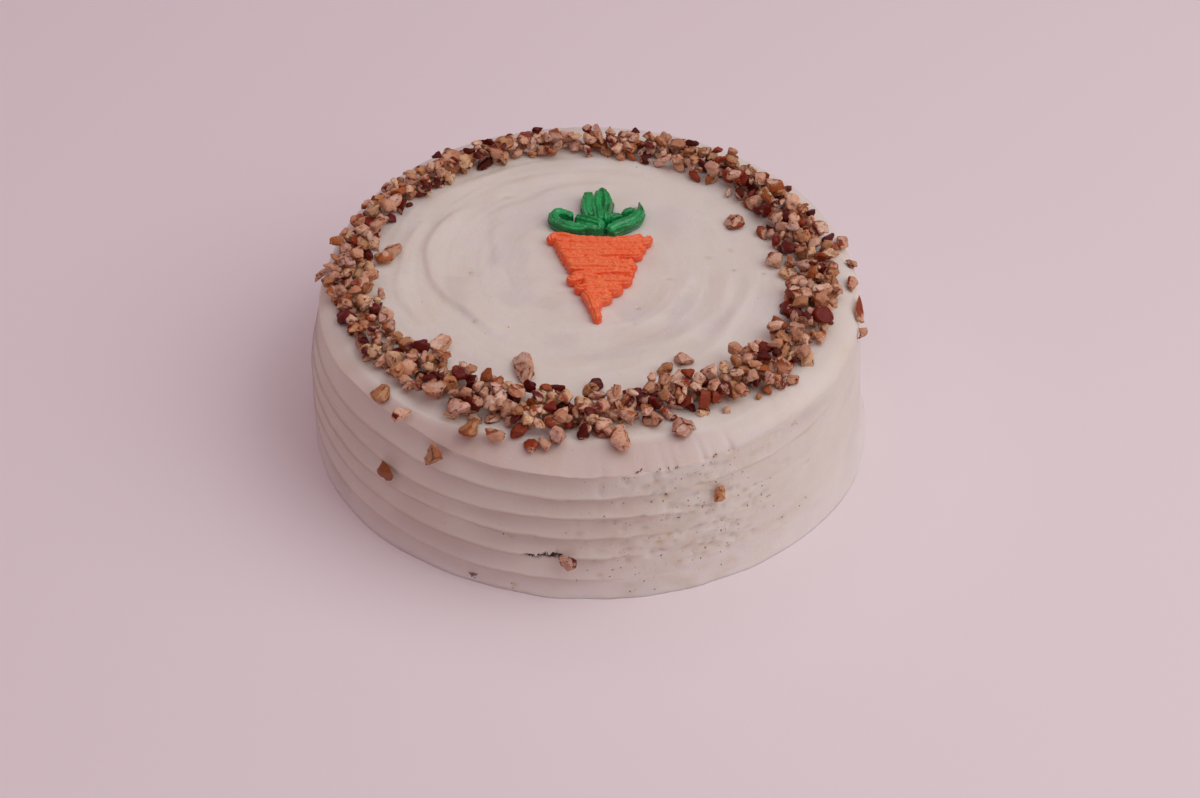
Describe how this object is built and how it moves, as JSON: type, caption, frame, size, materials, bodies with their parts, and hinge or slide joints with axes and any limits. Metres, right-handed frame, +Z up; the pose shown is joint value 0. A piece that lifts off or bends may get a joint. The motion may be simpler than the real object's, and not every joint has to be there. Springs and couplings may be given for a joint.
{
  "type": "carrot cake",
  "caption": "Round frosted carrot cake with combed sides, a swirled top, a ring of chopped pecans round the rim, and a piped orange carrot with green leaves.",
  "frame": {"origin": "centre of the round flat base, on the cake's axis, on the surface that the cake stands on", "axes": "+Z up through the cake; -Y towards the front, where the piped carrot's tip points; +X to the right seen from the front"},
  "size_m": [0.2314, 0.2293, 0.0754],
  "materials": {
    "frosting": "soft cream-coloured cream cheese frosting, spread with a spatula, satin",
    "chopped_pecan": "chopped pecan, pale cut flesh and red-brown skin",
    "orange_icing": "piped orange buttercream with a moist sheen",
    "green_icing": "piped green buttercream with a moist sheen"
  },
  "bodies": {
    "root": {"cake": "frosting", "pecan_ring": "chopped_pecan", "carrot_root": "orange_icing", "leaf_left_outer": "green_icing", "leaf_left_inner": "green_icing", "leaf_middle_left": "green_icing", "leaf_middle_right": "green_icing", "leaf_right": "green_icing", "leaf_right_inner": "green_icing", "stray_top_1": "chopped_pecan", "stray_top_2": "chopped_pecan", "stray_top_3": "chopped_pecan", "stray_top_4": "chopped_pecan", "stray_top_5": "chopped_pecan", "stray_top_6": "chopped_pecan", "stray_top_7": "chopped_pecan", "stray_top_8": "chopped_pecan", "stray_top_9": "chopped_pecan", "stray_side_1": "chopped_pecan", "stray_side_2": "chopped_pecan", "stray_side_3": "chopped_pecan", "stray_side_4": "chopped_pecan", "stray_side_5": "chopped_pecan", "stray_side_6": "chopped_pecan", "stray_side_7": "chopped_pecan", "stray_side_8": "chopped_pecan", "stray_side_9": "chopped_pecan", "stray_side_10": "chopped_pecan", "stray_side_11": "chopped_pecan", "stray_side_12": "chopped_pecan"}
  },
  "joints": []
}
